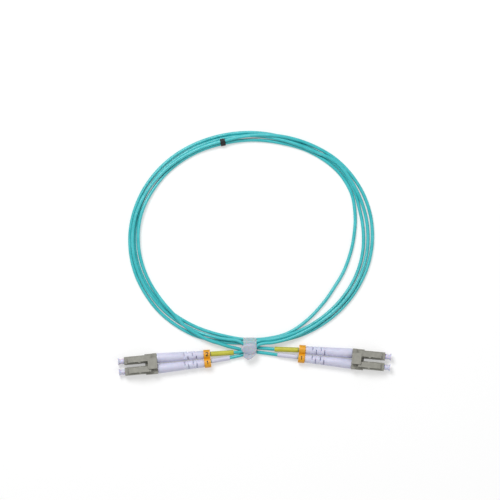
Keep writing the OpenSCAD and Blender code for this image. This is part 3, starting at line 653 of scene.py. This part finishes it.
def folded_sheet(name, outline, thick, dome):
    """A flat folded layer of the strip: ribbed, thin at its rim and domed in the middle."""
    rows = 28
    z0, z1 = TIE_TOP, TIE_TOP + thick
    middle = sum((Vector(p) for p in outline), Vector((0, 0))) / len(outline)
    edge = rounded([Vector((*p, 0)) for p in outline + outline[:1]], 0.35)[:-1]
    count = len(edge)
    verts, faces = [], []
    for side in (0, 1):
        for k in range(rows):
            u = 1 - k / rows
            for p in edge:
                q = middle + (Vector((p.x, p.y)) - middle) * u
                height = (1 - u ** 3) * dome
                wave = cos(2 * pi * (q.x + 0.12 * q.y) / FOLD_RIB_PITCH)
                rib = FOLD_RIB_H * wave * min(1, 4 * (1 - u))
                z = z1 - FOLD_RIM * u ** 8 + height + rib if side == 0 else z0
                verts.append((q.x, q.y - HANG, z))
    verts.append((middle.x, middle.y - HANG, z1 + dome))
    verts.append((middle.x, middle.y - HANG, z0))
    size = rows * count
    for side in (0, 1):
        for k in range(rows - 1):
            for j in range(count):
                a, b = side * size + k * count + j, side * size + k * count + (j + 1) % count
                faces.append((a, b, b + count, a + count))
        last = side * size + (rows - 1) * count
        for j in range(count):
            faces.append((last + j, last + (j + 1) % count, 2 * size + side))
    for j in range(count):
        faces.append((j, (j + 1) % count, size + (j + 1) % count, size + j))
    return mesh_from(name, verts, faces, 60)


def tie_knot():
    """The strip's flat knot, with a pointed tail that lies under it and over the outer edge."""
    body = [(-5.6, -4.8), (-4.6, -2.8), (-2.6, -1.7), (0.6, -1.3), (2.6, -1.6), (3.5, -3.1), (3.6, -5.3),
            (2.5, -7), (0.2, -7.8), (-2.3, -7.6), (-4.3, -6.5)]
    tail = [(-3.6, -7), (0.8, -6.8), (3.3, -6.6), (3.3, -7.9), (0.9, -9.9), (-1.4, -11), (-2.8, -10.2),
            (-3.8, -9.3), (-3.9, -8)]
    fold = folded_sheet("tie_knot_fold", body, KNOT_T, KNOT_DOME)
    knot = made_object("tie_knot_fold", fold, tie_fold, "cord")
    flap = folded_sheet("tie_tail", tail, TAIL_T, TAIL_DOME)
    made_object("tie_tail", flap, tie_fold, "cord")
    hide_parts("tie_knot")


# ---- Stage ----

def stage():
    """White surface that keeps soft shadows, an even sky and two large soft lamps."""
    floor_glow, sky_strength, floor_half, floor_drop = 0.42, 0.4, 2, 0.02
    made = bpy.data.materials.new("paper_white")
    made.use_nodes = True
    tree = made.node_tree
    tree.nodes.remove(tree.nodes["Principled BSDF"])
    paint = add(tree, "ShaderNodeBsdfDiffuse", {"Color": srgb("#fcfcfc")})
    glow = add(tree, "ShaderNodeEmission", {"Color": (1, 1, 1, 1), "Strength": 1.0})
    seen = add(tree, "ShaderNodeLightPath")
    share = add(tree, "ShaderNodeMath", {"operation": "MAXIMUM"},
                _0=seen.outputs["Is Camera Ray"], _1=seen.outputs["Is Glossy Ray"])
    share = add(tree, "ShaderNodeMath", {"operation": "MAXIMUM"},
                _0=share.outputs[0], _1=seen.outputs["Is Transmission Ray"])
    part = add(tree, "ShaderNodeMath", {"operation": "MULTIPLY", 1: floor_glow}, _0=share.outputs[0])
    mix = add(tree, "ShaderNodeMixShader", _0=part.outputs[0], _1=paint.outputs[0], _2=glow.outputs[0])
    tree.links.new(mix.outputs[0], tree.nodes["Material Output"].inputs["Surface"])
    mesh = bpy.data.meshes.new("floor")
    corners = [(x * floor_half, y * floor_half, 0) for x, y in ((-1, -1), (1, -1), (1, 1), (-1, 1))]
    mesh.from_pydata(corners, [], [(0, 1, 2, 3)])
    floor = bpy.data.objects.new("floor", mesh)
    floor.location.z = -floor_drop * MM
    bpy.context.scene.collection.objects.link(floor)
    mesh.materials.append(made)

    world = bpy.data.worlds.new("sky")
    world.use_nodes = True
    sky = world.node_tree
    sky.nodes["Background"].inputs["Color"].default_value = (1, 1, 1, 1)
    sky.nodes["Background"].inputs["Strength"].default_value = sky_strength
    bpy.context.scene.world = world
    for name, where, size, power in (
            ("key", (-0.3, 0.5, 0.9), 0.5, 8.5), ("fill", (0.6, -0.5, 0.8), 0.8, 2.4)):
        data = bpy.data.lights.new(name, "AREA")
        data.size = size
        data.energy = power
        lamp = bpy.data.objects.new(name, data)
        lamp.location = where
        lamp.rotation_euler = (-Vector(where)).to_track_quat("-Z", "Y").to_euler()
        bpy.context.scene.collection.objects.link(lamp)


camera()
cords()
connectors()
softened("cord_band", EDGE["cord_band"], rubber_black)
tie_band()
tie_knot()
stage()
bpy.context.scene.view_settings.view_transform = "Standard"
bpy.context.view_layer.update()
